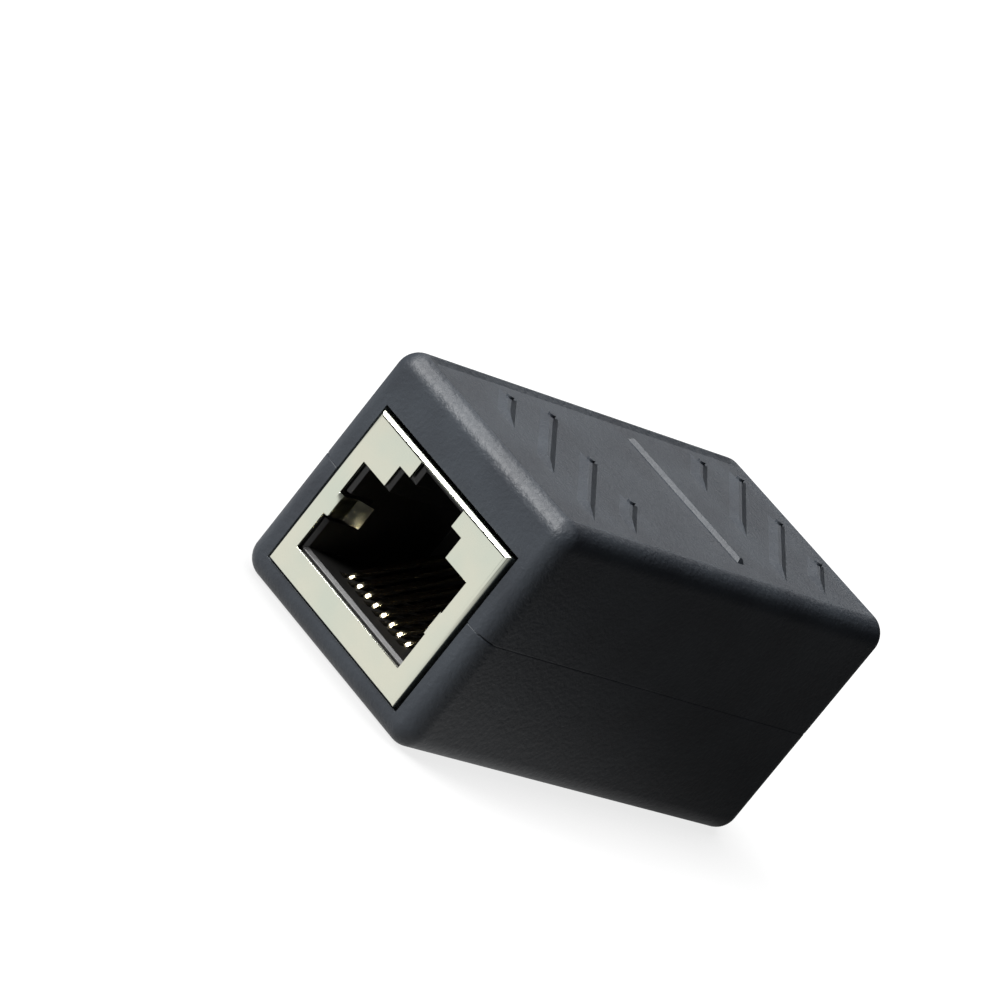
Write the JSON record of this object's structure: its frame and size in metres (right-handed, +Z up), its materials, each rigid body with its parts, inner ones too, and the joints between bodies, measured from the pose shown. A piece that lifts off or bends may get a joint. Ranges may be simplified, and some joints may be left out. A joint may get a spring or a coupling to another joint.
{
  "type": "rj45 inline coupler",
  "caption": "Shielded inline coupler with a black two-part housing and a stepped modular port with spring contacts at each end.",
  "frame": {"origin": "middle of the bottom face, on the surface it rests on", "axes": "+Z up with the latch side of both ports up, +Y from the front port to the rear port, +X to the right seen from the front"},
  "size_m": [0.0206, 0.0402, 0.0199],
  "materials": {
    "housing": "fine spark texture, black",
    "shield": "tin-plated sheet, satin",
    "insulator": "moulded, black",
    "carrier": "moulded, black",
    "contact": "gold-plated spring wire",
    "board": "green solder mask"
  },
  "bodies": {
    "root": {"upper_housing": "housing", "lower_housing": "housing", "circuit_board": "board", "front_shield": "shield", "front_insulator": "insulator", "front_contact_carrier": "carrier", "front_contact_1": "contact", "front_contact_2": "contact", "front_contact_3": "contact", "front_contact_4": "contact", "front_contact_5": "contact", "front_contact_6": "contact", "front_contact_7": "contact", "front_contact_8": "contact", "rear_shield": "shield", "rear_insulator": "insulator", "rear_contact_carrier": "carrier", "rear_contact_1": "contact", "rear_contact_2": "contact", "rear_contact_3": "contact", "rear_contact_4": "contact", "rear_contact_5": "contact", "rear_contact_6": "contact", "rear_contact_7": "contact", "rear_contact_8": "contact"}
  },
  "joints": []
}
